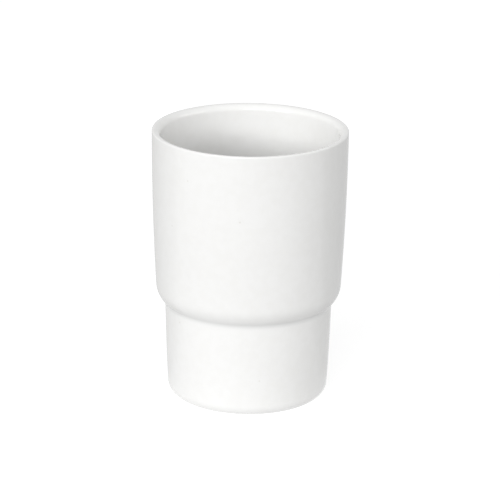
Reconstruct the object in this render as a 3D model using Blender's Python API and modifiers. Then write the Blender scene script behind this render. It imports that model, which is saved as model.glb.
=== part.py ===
"""Stepped porcelain tumbler for a bathroom, at real size in metres, +Z up.

It is one slip-cast piece: a wide upper wall, a rounded shoulder that hangs in a holder's ring, a narrower
lower wall that passes through the ring, a floor and a foot ring. The inside follows the outside at one
wall's thickness, as cast porcelain does. The origin is the middle of the foot ring, on the surface that the
tumbler stands on.

The section is made of round stretches that run smoothly into each other. A place on it is given by its
lean, the angle by which the surface faces down from level: 0 faces outwards, a quarter turn faces down and
minus a quarter turn faces up.
"""

import math

import bmesh
import bpy
from mathutils import Vector

# Overall sizes
HEIGHT = 0.100
NECK_DIAMETER = 0.0609  # widest place of the lower wall, just under the shoulder
SHOULDER_HEIGHT = 0.0417  # foot to the lower end of the upper wall
SHOULDER_LEDGE = 0.0034  # the upper wall's foot stands out from the neck by this

# Walls
WALL = 0.0031
UPPER_LEAN = math.radians(3.3)  # at the upper wall's foot
UPPER_BOW = 1.05  # radius of the upper wall's slight outward curve
LOWER_LEAN = math.radians(1.1)  # at the neck
LOWER_BOW = 0.80  # radius of the lower wall's slight outward curve

# Shoulder, lip and foot
SHOULDER_ROUND = 0.0087
CREASE_ROUND = 0.0033  # hollow round where the shoulder meets the lower wall
LIP_OUTER_ROUND = 0.0006
LIP_LAND = 0.0001  # flat top of the lip, between its outer and inner rounds
FOOT_ROUND = 0.0042

# Floor and foot ring
FLOOR = 0.0042  # thickness over the recess
INNER_FLOOR_ROUND = 0.0065
FOOT_RING_WIDTH = 0.0028
RECESS_DEPTH = 0.0012
RECESS_EDGE_ROUND = 0.0007
RECESS_CORNER_ROUND = 0.0012

# Facets
SIDES = 72
CHORD_ERROR = 0.00003  # most that a facet cuts inside a round of the section
MERGE_DISTANCE = 0.00001

# Finish
GLAZE_COLOUR = (0.93, 0.93, 0.92, 1.0)
GLAZE_ROUGHNESS = 0.12

FACING_UP = -math.pi / 2
FACING_DOWN = math.pi / 2


def ray(lean):
    """The way that a surface of this lean faces, as (outwards, up)."""
    return Vector((math.cos(lean), -math.sin(lean)))


def round_points(centre, radius, start, end):
    """Points of a round, from one lean to another. A hollow round has a negative radius."""
    facet_turn = 2 * math.acos(1 - CHORD_ERROR / abs(radius))
    facets = max(1, math.ceil(abs(end - start) / facet_turn))
    return [centre + radius * ray(start + (end - start) * i / facets) for i in range(facets + 1)]


def lean_at(centre, reach, height):
    """The lean of the ray from centre that has this height at the end of this reach."""
    return math.asin((centre.y - height) / reach)


def step_turn(offset, first, second, before=0, after=0):
    """How far an S of two rounds turns to step sideways by offset, between walls of these leans.

    A step wider than the two rounds turns a full quarter and has a straight stretch between them.
    """
    across = first * math.cos(before) + second * math.cos(after) - offset
    return math.acos(max(0, across / (first + second)))


# Centres of the wall's four rounds, on the outside of the tumbler
SHOULDER_TURN = step_turn(SHOULDER_LEDGE, SHOULDER_ROUND, CREASE_ROUND, UPPER_LEAN, LOWER_LEAN)
SHOULDER_DROP = SHOULDER_ROUND * (math.sin(SHOULDER_TURN) - math.sin(UPPER_LEAN))
CREASE_DROP = CREASE_ROUND * (math.sin(SHOULDER_TURN) - math.sin(LOWER_LEAN))
UPPER_FOOT = Vector((NECK_DIAMETER / 2 + SHOULDER_LEDGE, SHOULDER_HEIGHT))
NECK = Vector((NECK_DIAMETER / 2, SHOULDER_HEIGHT - SHOULDER_DROP - CREASE_DROP))
UPPER_CENTRE = UPPER_FOOT - UPPER_BOW * ray(UPPER_LEAN)
SHOULDER_CENTRE = UPPER_FOOT - SHOULDER_ROUND * ray(UPPER_LEAN)
CREASE_CENTRE = NECK + CREASE_ROUND * ray(LOWER_LEAN)
LOWER_CENTRE = NECK - LOWER_BOW * ray(LOWER_LEAN)


def side_points(inset, top_lean, foot_lean):
    """The wall's surface from top to foot, moved into the wall by inset: two bowed walls and the step."""
    return (
        round_points(UPPER_CENTRE, UPPER_BOW - inset, top_lean, UPPER_LEAN)
        + round_points(SHOULDER_CENTRE, SHOULDER_ROUND - inset, UPPER_LEAN, SHOULDER_TURN)
        + round_points(CREASE_CENTRE, -CREASE_ROUND - inset, SHOULDER_TURN, LOWER_LEAN)
        + round_points(LOWER_CENTRE, LOWER_BOW - inset, LOWER_LEAN, foot_lean)
    )


def inside_points():
    """The cavity, from the middle of its floor up to the top of the lip."""
    floor_height = RECESS_DEPTH + FLOOR
    floor_reach = LOWER_BOW - WALL - INNER_FLOOR_ROUND
    foot_lean = lean_at(LOWER_CENTRE, floor_reach, floor_height + INNER_FLOOR_ROUND)
    floor_centre = LOWER_CENTRE + floor_reach * ray(foot_lean)

    lip_round = WALL - LIP_OUTER_ROUND - LIP_LAND
    lip_reach = UPPER_BOW - WALL + lip_round
    top_lean = lean_at(UPPER_CENTRE, lip_reach, HEIGHT - lip_round)
    lip_centre = UPPER_CENTRE + lip_reach * ray(top_lean)

    return (
        [Vector((0, floor_height))]
        + round_points(floor_centre, INNER_FLOOR_ROUND, FACING_DOWN, foot_lean)
        + side_points(WALL, top_lean, foot_lean)[::-1]
        + round_points(lip_centre, lip_round, top_lean - math.pi, FACING_UP)
    )


def outside_points():
    """The outside, from the top of the lip down to the flat of the foot ring."""
    lip_reach = UPPER_BOW - LIP_OUTER_ROUND
    top_lean = lean_at(UPPER_CENTRE, lip_reach, HEIGHT - LIP_OUTER_ROUND)
    lip_centre = UPPER_CENTRE + lip_reach * ray(top_lean)

    foot_reach = LOWER_BOW - FOOT_ROUND
    foot_lean = lean_at(LOWER_CENTRE, foot_reach, FOOT_ROUND)
    foot_centre = LOWER_CENTRE + foot_reach * ray(foot_lean)

    return (
        round_points(lip_centre, LIP_OUTER_ROUND, FACING_UP, top_lean)
        + side_points(0, top_lean, foot_lean)
        + round_points(foot_centre, FOOT_ROUND, foot_lean, FACING_DOWN)
    )


def underside_points(ring_radius):
    """The foot ring's inner edge and the shallow recess, from the ring's outer radius to the axis."""
    turn = step_turn(RECESS_DEPTH, RECESS_EDGE_ROUND, RECESS_CORNER_ROUND)
    edge_centre = Vector((ring_radius - FOOT_RING_WIDTH, RECESS_EDGE_ROUND))
    run_in = (RECESS_EDGE_ROUND + RECESS_CORNER_ROUND) * math.sin(turn)
    corner_centre = Vector((edge_centre.x - run_in, RECESS_DEPTH - RECESS_CORNER_ROUND))
    return (
        round_points(edge_centre, RECESS_EDGE_ROUND, FACING_DOWN, FACING_DOWN + turn)
        + round_points(corner_centre, -RECESS_CORNER_ROUND, FACING_DOWN + turn, FACING_DOWN)
        + [Vector((0, RECESS_DEPTH))]
    )


def without_repeats(points):
    """The same points, with one kept where a round ends on the next one's start."""
    kept = points[:1]
    for point in points[1:]:
        if (point - kept[-1]).length > MERGE_DISTANCE:
            kept.append(point)
    return kept


def section_points():
    """The whole section, from the cavity's floor over the lip and down to the recess, axis to axis."""
    outside = outside_points()
    underside = underside_points(outside[-1].x)
    return without_repeats(inside_points() + outside + underside)


def section_mesh(name, points):
    """The section as a chain of edges in the XZ plane."""
    shape = bmesh.new()
    vertices = [shape.verts.new((point.x, 0, point.y)) for point in points]
    for first, second in zip(vertices, vertices[1:]):
        shape.edges.new((first, second))
    mesh = bpy.data.meshes.new(name)
    shape.to_mesh(mesh)
    shape.free()
    return mesh


def turn_on_axis(obj):
    """Turns a section once round the Z axis."""
    screw = obj.modifiers.new("turned", "SCREW")
    screw.axis = "Z"
    screw.angle = math.tau
    screw.steps = SIDES
    screw.render_steps = SIDES
    screw.use_merge_vertices = True
    screw.merge_threshold = MERGE_DISTANCE
    screw.use_smooth_shade = True


def glaze_material():
    material = bpy.data.materials.new("white_glaze")
    material.use_nodes = True
    shader = material.node_tree.nodes["Principled BSDF"]
    shader.inputs["Base Color"].default_value = GLAZE_COLOUR
    shader.inputs["Roughness"].default_value = GLAZE_ROUGHNESS
    shader.inputs["Metallic"].default_value = 0
    return material


def clear_scene():
    for obj in list(bpy.data.objects):
        bpy.data.objects.remove(obj, do_unlink=True)


def build():
    clear_scene()
    collection = bpy.data.collections.new("stepped_tumbler")
    bpy.context.scene.collection.children.link(collection)
    tumbler = bpy.data.objects.new("tumbler", section_mesh("tumbler", section_points()))
    tumbler.data.materials.append(glaze_material())
    turn_on_axis(tumbler)
    collection.objects.link(tumbler)


build()
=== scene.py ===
"""Looks of the stepped porcelain tumbler: its glazed surface, the floor, the lamps and the camera.

The tumbler is turned again from the same section as the CAD model, much finer, and gets the slight
unevenness of cast and glazed ware. Everything is in metres, +Z up, with the middle of the foot ring at the
origin.
"""

import math

import bmesh
import bpy
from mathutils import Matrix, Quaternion, Vector, noise


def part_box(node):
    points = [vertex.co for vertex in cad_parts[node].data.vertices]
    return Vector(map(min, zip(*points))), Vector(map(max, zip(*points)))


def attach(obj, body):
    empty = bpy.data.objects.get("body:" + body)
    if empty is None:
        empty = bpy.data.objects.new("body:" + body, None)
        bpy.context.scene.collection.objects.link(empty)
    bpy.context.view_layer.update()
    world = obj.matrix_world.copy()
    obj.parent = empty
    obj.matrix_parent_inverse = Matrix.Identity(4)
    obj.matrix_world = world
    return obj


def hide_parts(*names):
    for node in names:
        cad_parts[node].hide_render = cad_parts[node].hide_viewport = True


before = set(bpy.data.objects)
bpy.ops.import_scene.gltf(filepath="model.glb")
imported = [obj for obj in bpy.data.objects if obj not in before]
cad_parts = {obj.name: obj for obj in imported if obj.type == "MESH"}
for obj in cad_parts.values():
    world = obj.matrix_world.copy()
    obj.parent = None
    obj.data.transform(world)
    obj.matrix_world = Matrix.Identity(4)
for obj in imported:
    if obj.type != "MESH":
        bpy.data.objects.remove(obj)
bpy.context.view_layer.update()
foot_corner, rim_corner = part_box("tumbler")

# Section of the tumbler, as in the CAD model
HEIGHT = rim_corner.z - foot_corner.z
NECK_DIAMETER = 0.0609  # widest place of the lower wall, just under the shoulder
SHOULDER_HEIGHT = 0.0417  # foot to the lower end of the upper wall
SHOULDER_LEDGE = 0.0034  # the upper wall's foot stands out from the neck by this
WALL = 0.0031
UPPER_LEAN = math.radians(3.3)  # at the upper wall's foot
UPPER_BOW = 1.05  # radius of the upper wall's slight outward curve
LOWER_LEAN = math.radians(1.1)  # at the neck
LOWER_BOW = 0.80  # radius of the lower wall's slight outward curve
SHOULDER_ROUND = 0.0087
CREASE_ROUND = 0.0033  # hollow round where the shoulder meets the lower wall
LIP_OUTER_ROUND = 0.0006
LIP_LAND = 0.0001  # flat top of the lip, between its outer and inner rounds
LIP_INNER_ROUND = WALL - LIP_OUTER_ROUND - LIP_LAND
FOOT_ROUND = 0.0042
FLOOR = 0.0042  # thickness over the recess
INNER_FLOOR_ROUND = 0.0065
FOOT_RING_WIDTH = 0.0028
RECESS_DEPTH = 0.0012
RECESS_EDGE_ROUND = 0.0007
RECESS_CORNER_ROUND = 0.0012

# Fineness of the turned mesh
SIDES = 240
SECTION_STEP = 0.0011  # longest step along the section
SECTION_TURN = math.radians(6)  # most that the section turns in one step
MERGE_DISTANCE = 0.00001

# Unevenness of cast and glazed ware, always inwards, so that the tumbler stays in the CAD model's box
OVAL_DEPTH = 0.00005  # how much narrower the rim is across than along
OVAL_WAY = math.radians(35)
LOBE_DEPTH = 0.00002
LOBES = 3
RIM_DIP = 0.00004
GLAZE_WAVE_DEPTH = 0.00002  # slow swells in the thickness of the glaze
GLAZE_WAVE_SIZE = 0.011

# Camera, from the photograph's perspective
MIDDLE = Vector((0, 0, 0.050))  # of the tumbler, around which the camera and the lamps are placed
CAMERA_DISTANCE = 1.1
CAMERA_ELEVATION = math.radians(18.67)
CAMERA_TARGET = Vector((0.00041, 0, 0.05406))
CAMERA_ROLL = math.radians(0.72)
CAMERA_LENS_MM = 216.7
CAMERA_SENSOR_MM = 36

FACING_UP = -math.pi / 2
FACING_DOWN = math.pi / 2


def ray(lean):
    """The way that a surface of this lean faces, as (outwards, up). It faces down from level by its lean."""
    return Vector((math.cos(lean), -math.sin(lean)))


def round_points(centre, radius, start, end):
    """Points of a round, from one lean to another. A hollow round has a negative radius."""
    by_turn = abs(end - start) / SECTION_TURN
    by_length = abs((end - start) * radius) / SECTION_STEP
    steps = max(1, math.ceil(by_turn), math.ceil(by_length))
    return [centre + radius * ray(start + (end - start) * i / steps) for i in range(steps + 1)]


def level_points(start, end_radius):
    """Points of a level stretch, from its start to this distance from the axis."""
    length = end_radius - start.x
    steps = max(1, math.ceil(abs(length) / SECTION_STEP))
    return [Vector((start.x + length * i / steps, start.y)) for i in range(steps + 1)]


def lean_at(centre, reach, height):
    """The lean of the ray from centre that has this height at the end of this reach."""
    return math.asin((centre.y - height) / reach)


def step_turn(offset, first, second, before=0, after=0):
    """How far an S of two rounds turns to step sideways by offset, between walls of these leans."""
    across = first * math.cos(before) + second * math.cos(after) - offset
    return math.acos(max(0, across / (first + second)))


SHOULDER_TURN = step_turn(SHOULDER_LEDGE, SHOULDER_ROUND, CREASE_ROUND, UPPER_LEAN, LOWER_LEAN)
SHOULDER_DROP = SHOULDER_ROUND * (math.sin(SHOULDER_TURN) - math.sin(UPPER_LEAN))
CREASE_DROP = CREASE_ROUND * (math.sin(SHOULDER_TURN) - math.sin(LOWER_LEAN))
UPPER_FOOT = Vector((NECK_DIAMETER / 2 + SHOULDER_LEDGE, SHOULDER_HEIGHT))
NECK = Vector((NECK_DIAMETER / 2, SHOULDER_HEIGHT - SHOULDER_DROP - CREASE_DROP))
UPPER_CENTRE = UPPER_FOOT - UPPER_BOW * ray(UPPER_LEAN)
SHOULDER_CENTRE = UPPER_FOOT - SHOULDER_ROUND * ray(UPPER_LEAN)
CREASE_CENTRE = NECK + CREASE_ROUND * ray(LOWER_LEAN)
LOWER_CENTRE = NECK - LOWER_BOW * ray(LOWER_LEAN)
CREASE_HEIGHT = NECK.y + CREASE_DROP / 2


def side_points(inset, top_lean, foot_lean):
    """The wall's surface from top to foot, moved into the wall by inset: two bowed walls and the step."""
    return (
        round_points(UPPER_CENTRE, UPPER_BOW - inset, top_lean, UPPER_LEAN)
        + round_points(SHOULDER_CENTRE, SHOULDER_ROUND - inset, UPPER_LEAN, SHOULDER_TURN)
        + round_points(CREASE_CENTRE, -CREASE_ROUND - inset, SHOULDER_TURN, LOWER_LEAN)
        + round_points(LOWER_CENTRE, LOWER_BOW - inset, LOWER_LEAN, foot_lean)
    )


def inside_points():
    """The cavity, from the middle of its floor up to the top of the lip."""
    floor_height = RECESS_DEPTH + FLOOR
    floor_reach = LOWER_BOW - WALL - INNER_FLOOR_ROUND
    foot_lean = lean_at(LOWER_CENTRE, floor_reach, floor_height + INNER_FLOOR_ROUND)
    floor_centre = LOWER_CENTRE + floor_reach * ray(foot_lean)

    lip_reach = UPPER_BOW - WALL + LIP_INNER_ROUND
    top_lean = lean_at(UPPER_CENTRE, lip_reach, HEIGHT - LIP_INNER_ROUND)
    lip_centre = UPPER_CENTRE + lip_reach * ray(top_lean)

    return (
        level_points(Vector((0, floor_height)), floor_centre.x)
        + round_points(floor_centre, INNER_FLOOR_ROUND, FACING_DOWN, foot_lean)
        + side_points(WALL, top_lean, foot_lean)[::-1]
        + round_points(lip_centre, LIP_INNER_ROUND, top_lean - math.pi, FACING_UP)
    )


def outside_points():
    """The outside, from the top of the lip down to the flat of the foot ring."""
    lip_reach = UPPER_BOW - LIP_OUTER_ROUND
    top_lean = lean_at(UPPER_CENTRE, lip_reach, HEIGHT - LIP_OUTER_ROUND)
    lip_centre = UPPER_CENTRE + lip_reach * ray(top_lean)

    foot_reach = LOWER_BOW - FOOT_ROUND
    foot_lean = lean_at(LOWER_CENTRE, foot_reach, FOOT_ROUND)
    foot_centre = LOWER_CENTRE + foot_reach * ray(foot_lean)

    return (
        round_points(lip_centre, LIP_OUTER_ROUND, FACING_UP, top_lean)
        + side_points(0, top_lean, foot_lean)
        + round_points(foot_centre, FOOT_ROUND, foot_lean, FACING_DOWN)
    )


def underside_points(ring_radius):
    """The foot ring's flat, its inner edge and the shallow recess, from this radius to the axis."""
    turn = step_turn(RECESS_DEPTH, RECESS_EDGE_ROUND, RECESS_CORNER_ROUND)
    edge_centre = Vector((ring_radius - FOOT_RING_WIDTH, RECESS_EDGE_ROUND))
    run_in = (RECESS_EDGE_ROUND + RECESS_CORNER_ROUND) * math.sin(turn)
    corner_centre = Vector((edge_centre.x - run_in, RECESS_DEPTH - RECESS_CORNER_ROUND))
    return (
        level_points(Vector((ring_radius, 0)), edge_centre.x)
        + round_points(edge_centre, RECESS_EDGE_ROUND, FACING_DOWN, FACING_DOWN + turn)
        + round_points(corner_centre, -RECESS_CORNER_ROUND, FACING_DOWN + turn, FACING_DOWN)
        + level_points(Vector((corner_centre.x, RECESS_DEPTH)), 0)
    )


def section_points():
    """The whole section, axis to axis, with one point kept where a stretch ends on the next one's start."""
    outside = outside_points()
    points = inside_points() + outside + underside_points(outside[-1].x)
    kept = points[:1]
    for point in points[1:]:
        if (point - kept[-1]).length > MERGE_DISTANCE:
            kept.append(point)
    return kept


def corners_in_order(face):
    """The numbers of a face's corners, in their order round it, from the lowest one on."""
    corners = [vertex.index for vertex in face.verts]
    start = corners.index(min(corners))
    return corners[start:] + corners[:start]


def turned_mesh(name, points):
    """The section turned once round the Z axis, shaded smooth, with its faces in the same order each run."""
    shape = bmesh.new()
    vertices = [shape.verts.new((point.x, 0, point.y)) for point in points]
    edges = [shape.edges.new(pair) for pair in zip(vertices, vertices[1:])]
    bmesh.ops.spin(
        shape,
        geom=vertices + edges,
        cent=(0, 0, 0),
        axis=(0, 0, 1),
        angle=math.tau,
        steps=SIDES,
        use_merge=True,
    )
    bmesh.ops.remove_doubles(shape, verts=shape.verts, dist=MERGE_DISTANCE)
    bmesh.ops.recalc_face_normals(shape, faces=shape.faces)
    shape.verts.index_update()
    places = [vertex.co for vertex in shape.verts]
    faces = sorted(corners_in_order(face) for face in shape.faces)  # bmesh orders them anew on each run
    mesh = bpy.data.meshes.new(name)
    mesh.from_pydata(places, [], faces)
    shape.free()
    mesh.shade_smooth()
    return mesh


def swell(place):
    """How thin the glaze lies at a place, from 0 to 1, in slow swells."""
    value = noise.noise(place / GLAZE_WAVE_SIZE)
    return min(1, max(0, (1 + value) / 2))


def wave(angle):
    """A smooth wave that goes from 0 up to 1 and back in a whole turn of the angle."""
    return (1 - math.cos(angle)) / 2


def make_uneven(mesh):
    """Draws the turned mesh in by a few hundredths of a millimetre, as firing and glazing do."""
    rim_radius = rim_corner.x
    for vertex in mesh.vertices:
        place = vertex.co.copy()
        radius = math.hypot(place.x, place.y)
        if radius < MERGE_DISTANCE or place.z < MERGE_DISTANCE:
            continue
        way = math.atan2(place.y, place.x)
        up_share = place.z / HEIGHT
        out_share = radius / rim_radius
        oval = OVAL_DEPTH * up_share * wave(2 * (way - OVAL_WAY))
        lobes = LOBE_DEPTH * up_share * wave(LOBES * way)
        dip = RIM_DIP * up_share * wave(2 * way + OVAL_WAY)
        glaze = GLAZE_WAVE_DEPTH * swell(place)
        shrink = 1 - (oval + lobes + glaze) * out_share / radius
        vertex.co = Vector((place.x * shrink, place.y * shrink, place.z - dip))


# Materials
NOISE_DETAIL = 2  # octaves of a noise that gives no number of its own

# Glaze
GLAZE_COLOUR = (0.915, 0.915, 0.906, 1.0)
GLAZE_THIN_COLOUR = (0.893, 0.891, 0.878, 1.0)  # where it lies thin and the body shows through a little
GLAZE_POOL_AND_SHADE_COLOUR = (0.904, 0.906, 0.898, 1.0)  # where it has run together in the hollow under the shoulder, and darker there as painted shade in the crease
GLAZE_CLOUD_SIZE = 0.030
GLAZE_CLOUD_DETAIL = 3
GLAZE_CLOUD_LIMITS = (0.35, 0.70)  # of the noise: full glaze under the first, thin glaze over the second
GLAZE_MOTTLE_SIZE = 0.0034
GLAZE_MOTTLE_LIMITS = (0.35, 0.65)
GLAZE_MOTTLE_SHARE = 0.55  # how much of the thinness comes from the fine mottle, the rest being clouds
GLAZE_POOL_AND_SHADE_REACH = 0.0024  # above and below the crease, over which the pooled glaze and the painted shade fade out
GLAZE_ROUGHNESS = (0.045, 0.085)  # from its smoothest to its dullest places
GLAZE_ROUGHNESS_LIMITS = (0.3, 0.7)
GLAZE_IOR = 1.5
RIPPLE_SIZE = 0.0014  # of the fine ripple of its surface
RIPPLE_DETAIL = 1
RIPPLE_DEPTH = 0.000003
PINHOLE_SPACING = 0.0085
PINHOLE_RADIUS = 0.0006
PINHOLE_DEPTH = 0.000030
PINHOLE_COLOUR = (0.75, 0.735, 0.70, 1.0)

# Bare clay of the foot ring, wiped free of glaze
CLAY_COLOUR = (0.79, 0.765, 0.71, 1.0)
CLAY_WORN_COLOUR = (0.60, 0.585, 0.55, 1.0)  # grey rubbed into it where it stands
CLAY_WORN_SIZE = 0.0022
CLAY_WORN_DETAIL = 4
CLAY_WORN_LIMITS = (0.45, 0.75)
CLAY_HEIGHT = 0.00010  # the glaze starts at about this height
CLAY_EDGE_WANDER = 0.00012
CLAY_EDGE_SIZE = 0.0030
CLAY_GRAIN_SIZE = 0.00035
CLAY_GRAIN_DEPTH = 0.000012
CLAY_ROUGHNESS = 0.72


def node_with(tree, kind, inputs, **settings):
    """A new node of this kind with these settings. Each input is a plain value or another node's output."""
    made = tree.nodes.new(kind)
    for name, setting in settings.items():
        setattr(made, name, setting)
    for name, value in inputs.items():
        if isinstance(value, bpy.types.NodeSocket):
            tree.links.new(value, made.inputs[name])
        else:
            made.inputs[name].default_value = value
    return made


def combined(tree, operation, first, second=0):
    """The result of one sum on one or two values, each a plain number or another node's output."""
    return node_with(tree, "ShaderNodeMath", {0: first, 1: second}, operation=operation).outputs["Value"]


def eased(tree, value, start, end, low=0, high=1):
    """Low at the start and high at the end, with a soft beginning and end."""
    inputs = {"Value": value, "From Min": start, "From Max": end, "To Min": low, "To Max": high}
    return node_with(tree, "ShaderNodeMapRange", inputs, interpolation_type="SMOOTHSTEP").outputs["Result"]


def mixed_colour(tree, first, second, share):
    """The first colour turning into the second by the share."""
    inputs = {"A": first, "B": second, "Factor": share}
    return node_with(tree, "ShaderNodeMix", inputs, data_type="RGBA").outputs["Result"]


def mixed_value(tree, first, second, share):
    """The first value turning into the second by the share."""
    inputs = {"A": first, "B": second, "Factor": share}
    return node_with(tree, "ShaderNodeMix", inputs, data_type="FLOAT").outputs["Result"]


def noise_value(tree, place, size, detail=NOISE_DETAIL):
    """Soft noise whose blotches are about this size, from 0 to 1."""
    inputs = {"Vector": place, "Scale": 1 / size, "Detail": detail}
    return node_with(tree, "ShaderNodeTexNoise", inputs).outputs["Fac"]


def noise_depth(tree, place, size, depth, detail=NOISE_DETAIL):
    """Noise whose swells are about this size, from 0 to this depth."""
    return combined(tree, "MULTIPLY", noise_value(tree, place, size, detail), depth)


def glaze_colour(tree, place, height, pinholes):
    """Full glaze, thin in clouds and in a fine mottle, pooled and darkened with painted shade in the crease,
    and broken by the pinholes.
    """
    cloud_noise = noise_value(tree, place, GLAZE_CLOUD_SIZE, GLAZE_CLOUD_DETAIL)
    clouds = eased(tree, cloud_noise, *GLAZE_CLOUD_LIMITS, high=1 - GLAZE_MOTTLE_SHARE)
    mottle_noise = noise_value(tree, place, GLAZE_MOTTLE_SIZE)
    mottle = eased(tree, mottle_noise, *GLAZE_MOTTLE_LIMITS, high=GLAZE_MOTTLE_SHARE)
    thin = combined(tree, "ADD", clouds, mottle)
    from_crease = combined(tree, "SUBTRACT", height, CREASE_HEIGHT)
    # painted shade: the glaze colour darkens towards the crease, partly as pooled glaze and partly as shade
    # painted in
    pool_and_shade = eased(tree, combined(tree, "ABSOLUTE", from_crease), GLAZE_POOL_AND_SHADE_REACH, 0)
    colour = mixed_colour(tree, GLAZE_COLOUR, GLAZE_THIN_COLOUR, thin)
    colour = mixed_colour(tree, colour, GLAZE_POOL_AND_SHADE_COLOUR, pool_and_shade)
    return mixed_colour(tree, colour, PINHOLE_COLOUR, pinholes)


def clay_colour(tree, place):
    """Bare clay, rubbed grey in patches."""
    worn_noise = noise_value(tree, place, CLAY_WORN_SIZE, CLAY_WORN_DETAIL)
    return mixed_colour(tree, CLAY_COLOUR, CLAY_WORN_COLOUR, eased(tree, worn_noise, *CLAY_WORN_LIMITS))


def relief_normal(tree, place, pinholes, bare):
    """The glaze's ripple and pinholes and the bare clay's grain, as a bump with its heights in metres."""
    ripple = noise_depth(tree, place, RIPPLE_SIZE, RIPPLE_DEPTH, RIPPLE_DETAIL)
    dents = combined(tree, "MULTIPLY", pinholes, -PINHOLE_DEPTH)
    grain = combined(tree, "MULTIPLY", noise_depth(tree, place, CLAY_GRAIN_SIZE, CLAY_GRAIN_DEPTH), bare)
    surface = combined(tree, "ADD", combined(tree, "ADD", ripple, dents), grain)
    return node_with(tree, "ShaderNodeBump", {"Height": surface, "Distance": 1}).outputs["Normal"]


def porcelain_material():
    """White glaze, and bare clay where the foot ring is wiped."""
    material = bpy.data.materials.new("glazed_porcelain")
    material.use_nodes = True
    tree = material.node_tree
    place = tree.nodes.new("ShaderNodeTexCoord").outputs["Object"]
    height = node_with(tree, "ShaderNodeSeparateXYZ", {"Vector": place}).outputs["Z"]

    cells = node_with(tree, "ShaderNodeTexVoronoi", {"Vector": place, "Scale": 1 / PINHOLE_SPACING})
    pinholes = eased(tree, cells.outputs["Distance"], PINHOLE_RADIUS / PINHOLE_SPACING, 0)
    clay_edge = noise_depth(tree, place, CLAY_EDGE_SIZE, CLAY_EDGE_WANDER)
    bare = eased(tree, combined(tree, "SUBTRACT", height, clay_edge), CLAY_HEIGHT, 0)

    glaze = glaze_colour(tree, place, height, pinholes)
    colour = mixed_colour(tree, glaze, clay_colour(tree, place), bare)
    smooth, dull = GLAZE_ROUGHNESS
    glaze_noise = noise_value(tree, place, GLAZE_WAVE_SIZE)
    glaze_roughness = eased(tree, glaze_noise, *GLAZE_ROUGHNESS_LIMITS, low=smooth, high=dull)
    roughness = mixed_value(tree, glaze_roughness, CLAY_ROUGHNESS, bare)

    shader = tree.nodes["Principled BSDF"]
    shader.inputs["IOR"].default_value = GLAZE_IOR
    tree.links.new(colour, shader.inputs["Base Color"])
    tree.links.new(roughness, shader.inputs["Roughness"])
    tree.links.new(relief_normal(tree, place, pinholes, bare), shader.inputs["Normal"])
    return material


def add_object(name, data):
    """A new object in the scene, at the origin."""
    made = bpy.data.objects.new(name, data)
    bpy.context.scene.collection.objects.link(made)
    return made


def add_tumbler():
    mesh = turned_mesh("porcelain_tumbler", section_points())
    make_uneven(mesh)
    mesh.materials.append(porcelain_material())
    tumbler = add_object("porcelain_tumbler", mesh)
    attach(tumbler, "root")
    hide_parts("tumbler")


# Floor, which is white where it is seen but throws less light than that onto the tumbler
FLOOR_RADIUS = 4.0
FLOOR_SIDES = 128
FLOOR_SEEN_COLOUR = (0.60, 0.60, 0.60, 1.0)  # how much of the light on it shows, and with that the shadow
FLOOR_SEEN_GLOW = 0.60  # brings the unshaded floor up to white
FLOOR_THROWN_COLOUR = (0.12, 0.12, 0.12, 1.0)
FLOOR_FAR_GLOW = 0.170  # even light from below, as pale paper gives
FLOOR_NEAR_GLOW = 0.365
FLOOR_NEAR_REACH = (0.060, 0.160)  # from the axis: the near glow turns into the far glow between these
FLOOR_FOOT_GLOW = 0.22  # added under the foot's round
FLOOR_FOOT_REACH = (0.027, 0.038)  # from the axis: the foot glow fades out between these
FLOOR_MIRRORED_SHARE = 0.62  # how far the glaze mirrors the floor behind the tumbler as it is seen
FLOOR_MIRRORED_FADE = (-0.010, 0.020)  # on Y: from fully mirrored in front to that share behind


def seen_share(tree, mirrored_share):
    """1 where the background shows straight or through glass, this share where it is mirrored, else 0."""
    light_path = tree.nodes.new("ShaderNodeLightPath")
    mirrored = combined(tree, "MULTIPLY", light_path.outputs["Is Glossy Ray"], mirrored_share)
    through = light_path.outputs["Is Transmission Ray"]
    straight = combined(tree, "MAXIMUM", light_path.outputs["Is Camera Ray"], through)
    return combined(tree, "MAXIMUM", straight, mirrored)


def floor_material():
    """White with the tumbler's shadow where it is seen, and a soft light from below for the tumbler."""
    material = bpy.data.materials.new("pale_floor")
    material.use_nodes = True
    tree = material.node_tree
    tree.nodes.clear()
    place = tree.nodes.new("ShaderNodeNewGeometry").outputs["Position"]
    distance = node_with(tree, "ShaderNodeVectorMath", {0: place}, operation="LENGTH").outputs["Value"]
    near_glow = eased(tree, distance, *FLOOR_NEAR_REACH, low=FLOOR_NEAR_GLOW, high=FLOOR_FAR_GLOW)
    foot_glow = eased(tree, distance, *FLOOR_FOOT_REACH, low=FLOOR_FOOT_GLOW, high=0)
    thrown_glow = combined(tree, "ADD", near_glow, foot_glow)

    backwards = node_with(tree, "ShaderNodeSeparateXYZ", {"Vector": place}).outputs["Y"]
    mirrored_share = eased(tree, backwards, *FLOOR_MIRRORED_FADE, low=1, high=FLOOR_MIRRORED_SHARE)
    seen = seen_share(tree, mirrored_share)
    colour = mixed_colour(tree, FLOOR_THROWN_COLOUR, FLOOR_SEEN_COLOUR, seen)
    strength = mixed_value(tree, thrown_glow, FLOOR_SEEN_GLOW, seen)

    diffuse = node_with(tree, "ShaderNodeBsdfDiffuse", {"Color": colour}).outputs["BSDF"]
    glow = node_with(tree, "ShaderNodeEmission", {"Strength": strength}).outputs["Emission"]
    both = node_with(tree, "ShaderNodeAddShader", {0: diffuse, 1: glow}).outputs["Shader"]
    node_with(tree, "ShaderNodeOutputMaterial", {"Surface": both})
    return material


def add_floor():
    shape = bmesh.new()
    bmesh.ops.create_circle(shape, cap_ends=True, radius=FLOOR_RADIUS, segments=FLOOR_SIDES)
    mesh = bpy.data.meshes.new("studio_floor")
    shape.to_mesh(mesh)
    shape.free()
    mesh.materials.append(floor_material())
    floor = add_object("studio_floor", mesh)


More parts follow.
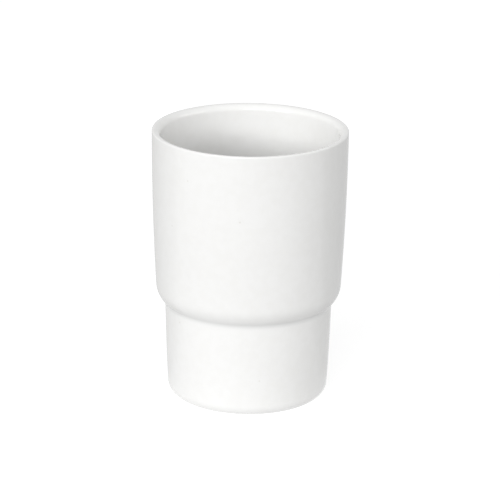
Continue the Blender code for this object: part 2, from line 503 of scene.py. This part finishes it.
# Light, from a white surround and three soft boxes
WORLD_COLOUR = (1.0, 1.0, 1.0, 1.0)
WORLD_SEEN_STRENGTH = 1.0
WORLD_FILL_STRENGTH = 0.585  # the light that it throws onto the tumbler
WORLD_MIRRORED_SHARE = 0.80  # how far the glaze mirrors it as it is seen
LAMP_DISTANCE = 2.2
SOFT_BOXES = {  # angles in degrees, sizes in metres, power in watts
    "key_box": {"azimuth": -28, "elevation": 17, "width": 2.2, "height": 0.45, "power": 28.0},
    "front_box": {"azimuth": -5, "elevation": 17, "width": 1.2, "height": 0.60, "power": 5.3},
    "side_box": {"azimuth": 85, "elevation": 20, "width": 1.5, "height": 0.45, "power": 6.0},
}


def add_world():
    world = bpy.data.worlds.new("studio")
    world.use_nodes = True
    bpy.context.scene.world = world
    tree = world.node_tree
    seen = seen_share(tree, WORLD_MIRRORED_SHARE)
    strength = mixed_value(tree, WORLD_FILL_STRENGTH, WORLD_SEEN_STRENGTH, seen)
    background = tree.nodes["Background"]
    background.inputs["Color"].default_value = WORLD_COLOUR
    tree.links.new(strength, background.inputs["Strength"])


def around(azimuth, elevation, distance):
    """A place round the tumbler's middle. Azimuth 0 is towards the camera and grows to its right."""
    level = distance * math.cos(elevation)
    offset = Vector((level * math.sin(azimuth), -level * math.cos(azimuth), distance * math.sin(elevation)))
    return MIDDLE + offset


def add_soft_box(name, azimuth, elevation, width, height, power):
    """A rectangular lamp that faces the tumbler's middle."""
    light = bpy.data.lights.new(name, "AREA")
    light.shape = "RECTANGLE"
    light.size = width
    light.size_y = height
    light.energy = power
    lamp = add_object(name, light)
    lamp.location = around(math.radians(azimuth), math.radians(elevation), LAMP_DISTANCE)
    lamp.rotation_euler = (MIDDLE - lamp.location).to_track_quat("-Z", "Y").to_euler()


def add_camera():
    camera = add_object("camera", bpy.data.cameras.new("camera"))
    camera.data.lens = CAMERA_LENS_MM
    camera.data.sensor_width = CAMERA_SENSOR_MM
    camera.data.sensor_fit = "HORIZONTAL"
    camera.location = around(0, CAMERA_ELEVATION, CAMERA_DISTANCE)
    look = (CAMERA_TARGET - camera.location).to_track_quat("-Z", "Y")
    camera.rotation_euler = (look @ Quaternion((0, 0, 1), CAMERA_ROLL)).to_euler()
    bpy.context.scene.camera = camera


add_camera()
add_tumbler()
add_floor()
add_world()
for box_name, box_values in SOFT_BOXES.items():
    add_soft_box(box_name, **box_values)
bpy.context.scene.view_settings.view_transform = "Standard"
